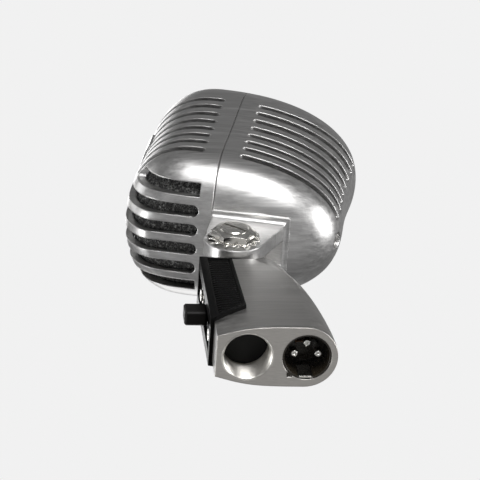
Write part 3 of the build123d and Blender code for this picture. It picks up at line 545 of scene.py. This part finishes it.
# ---- switch cover -------------------------------------------------------------------------------
# Black moulded cover wrapped round the front of the base and held by two screws. Level ribs
# stand in the sunk field of each side flange, moulded in the same piece.
cover_black = moulded("cover_black", (0.0020, 0.0020, 0.0020), 0.32, 2600, 0.00001, 0.0004, 0.07)
finish_node("switch_cover", cover_black)
cover_tree = BVHTree.FromPolygons([v.co for v in nodes["switch_cover"].data.vertices],
                                  [p.vertices[:] for p in nodes["switch_cover"].data.polygons])
RIB_PITCH = 1.65 * MM
RIB_HALF = 0.52 * MM
RIB_PROUD = 0.34 * MM
RIB_SUNK = 0.1 * MM
RIB_END_SHARE = 0.3
FIELD_LOW, FIELD_HIGH = 13.6 * MM, 53.2 * MM
FIELD_FRONT = -8.5 * MM
REAR_EDGE_Y, REAR_EDGE_LEAN = -1.8 * MM, 1.0 * MM
REAR_EDGE_TOP, REAR_EDGE_LENGTH = 53.3 * MM, 36.3 * MM
CORNER_LOW, CORNER_TOP = 12.4 * MM, 17.6 * MM
RIB_SPANS = 6
OUTSIDE_X = 20 * MM


def field_rear(height):
    """Rear edge of the sunk field at one height: it leans back towards the bottom."""
    return REAR_EDGE_Y + REAR_EDGE_LEAN * (REAR_EDGE_TOP - height) / REAR_EDGE_LENGTH


ribs = bmesh.new()
rib_count = int((FIELD_HIGH - FIELD_LOW) / RIB_PITCH)
for side in (1, -1):
    for index in range(rib_count):
        height = FIELD_LOW + RIB_PITCH * (index + 0.5)
        front_y, rear_y = FIELD_FRONT, field_rear(height)
        if height < CORNER_TOP:
            share = (height - CORNER_LOW) / (CORNER_TOP - CORNER_LOW)
            rear_y = min(rear_y, FIELD_FRONT + share * (rear_y - FIELD_FRONT))
        sections = []
        for step in range(RIB_SPANS + 1):
            y = front_y + (rear_y - front_y) * step / RIB_SPANS
            outside = Vector((side * OUTSIDE_X, y, height))
            hit = cover_tree.ray_cast(outside, Vector((-side, 0, 0)))[0]
            proud = RIB_PROUD if 0 < step < RIB_SPANS else RIB_PROUD * RIB_END_SHARE
            floor_x = abs(hit.x)
            outline = [(floor_x - RIB_SUNK, -RIB_HALF), (floor_x + proud * 0.6, -RIB_HALF * 0.7),
                       (floor_x + proud, 0),
                       (floor_x + proud * 0.6, RIB_HALF * 0.7), (floor_x - RIB_SUNK, RIB_HALF)]
            sections.append([ribs.verts.new((side * x, y, height + dz)) for x, dz in outline])
        for first, second in zip(sections, sections[1:]):
            for i in range(len(first)):
                j = (i + 1) % len(first)
                ribs.faces.new((first[i], first[j], second[j], second[i]))
        ribs.faces.new(sections[0][::-1])
        ribs.faces.new(sections[-1])
finish_piece("cover_ribs", ribs, cover_black, "base")

# ---- slide lever --------------------------------------------------------------------------------
# Square block of black moulded plastic with broken edges. It is fixed on the switch's
# slider and reaches out through the slot in the cover.
lever_black = moulded("lever_black", (0.006, 0.0055, 0.005), 0.42, 2200, 0.00002, 0.0005, 0.12)
finish_node("switch_lever", lever_black)

# ---- cartridge -----------------------------------------------------------------------------------
# Moving-coil cartridge: turned aluminium case and cap, a thin formed film, and a magnet
# between two soft-iron poles. The pieces are pressed and bonded together.
capsule_aluminium = plated("capsule_aluminium", (0.62, 0.62, 0.63), 0.38)
finish_node("capsule_case", capsule_aluminium)
finish_node("capsule_cap", capsule_aluminium)
soft_iron = plated("soft_iron", (0.40, 0.40, 0.41), 0.42)
finish_node("pole_piece", soft_iron)
finish_node("magnet_yoke", soft_iron)
magnet_metal = plated("magnet_metal", (0.20, 0.20, 0.21), 0.55)
finish_node("magnet", magnet_metal)
film, film_tree, film_shader = start_material("diaphragm_film", (0.50, 0.38, 0.20), 0.25, 0.0)
film_creases = grain(film_tree, (1, 1, 1), 800, 3.0)
film_gloss = spread(film_tree, film_creases, 0.18, 0.34)
film_tree.links.new(film_gloss.outputs[0], film_shader.inputs["Roughness"])
film_tone = two_tone(film_tree, film_creases, (0.42, 0.31, 0.15), (0.58, 0.45, 0.25))
film_tree.links.new(film_tone.outputs["Color"], film_shader.inputs["Base Color"])
relief(film_tree, film_shader, film_creases, 0.00003)
finish_node("diaphragm", film)

# ---- windings and laminations --------------------------------------------------------------------
# The voice coil and the transformer are wound with enamelled copper wire, turn beside turn.
# The transformer's core is a stack of thin steel sheets, seen as fine lines on its edges.


def layered(name, colour, roughness, direction, pitch, depth):
    """Metal in even layers: wire turns or stacked sheets, one light line each."""
    made, tree, shader = start_material(name, colour, roughness, 1.0)
    where = tree.nodes.new("ShaderNodeTexCoord")
    lines = tree.nodes.new("ShaderNodeTexWave")
    lines.wave_type = "BANDS"
    lines.bands_direction = direction
    lines.inputs["Scale"].default_value = 2 * math.pi / (20 * pitch)
    lines.inputs["Distortion"].default_value = 0.4
    tree.links.new(where.outputs["Object"], lines.inputs["Vector"])
    tone = two_tone(tree, lines, [c * 0.45 for c in colour], colour, 0.1, 0.8)
    tree.links.new(tone.outputs["Color"], shader.inputs["Base Color"])
    gloss = spread(tree, lines, roughness + 0.15, roughness, 0.1, 0.8)
    tree.links.new(gloss.outputs[0], shader.inputs["Roughness"])
    relief(tree, shader, lines, depth)
    return made


coil_copper = layered("coil_copper", (0.72, 0.32, 0.16), 0.3, "Y", 0.12 * MM, 0.00003)
finish_node("voice_coil", coil_copper)
winding_copper = layered("winding_copper", (0.62, 0.25, 0.11), 0.35, "Z", 0.3 * MM, 0.00008)
finish_node("transformer_winding", winding_copper)
core_laminations = layered("core_laminations", (0.30, 0.30, 0.32), 0.45, "Y", 0.5 * MM, 0.00006)
finish_node("transformer_core", core_laminations)

# ---- brackets and mounts -------------------------------------------------------------------------
# Pressed from zinc-plated sheet: the capsule's bracket, the transformer's clamp and the
# switch's frame. A grooved black rubber ring carries the cartridge in its bracket.
zinc_sheet = plated("zinc_sheet", (0.55, 0.56, 0.56), 0.4)
for part in ("capsule_bracket", "transformer_clamp", "switch_frame"):
    finish_node(part, zinc_sheet)
mount_rubber = moulded("mount_rubber", (0.018, 0.018, 0.018), 0.7, 1500, 0.00003)
finish_node("shock_mount", mount_rubber)

# ---- swivel bush and friction washers ------------------------------------------------------------
# The tongue's bore is lined with a sintered bronze bush. Red-brown fibre washers sit in its two
# seats and give the swivel its drag.
bush_bronze = plated("bush_bronze", (0.52, 0.36, 0.19), 0.42)
finish_node("pivot_bush", bush_bronze)
washer_fibre = moulded("washer_fibre", (0.16, 0.06, 0.03), 0.75, 1100, 0.00003)
finish_node("friction_washers", washer_fibre)

# ---- switch body and leads -----------------------------------------------------------------------
# Brown phenolic body held in its frame behind the cover, with leads in red insulation that
# run to the inlet's pins, and two more between the cartridge and the transformer.
switch_phenolic = moulded("switch_phenolic", (0.10, 0.045, 0.02), 0.5, 1600, 0.00002)
finish_node("switch_body", switch_phenolic)
lead_red = moulded("lead_red", (0.28, 0.02, 0.015), 0.45, 1200, 0.00001)
finish_node("base_leads", lead_red)
finish_node("head_leads", lead_red)

bpy.context.view_layer.update()
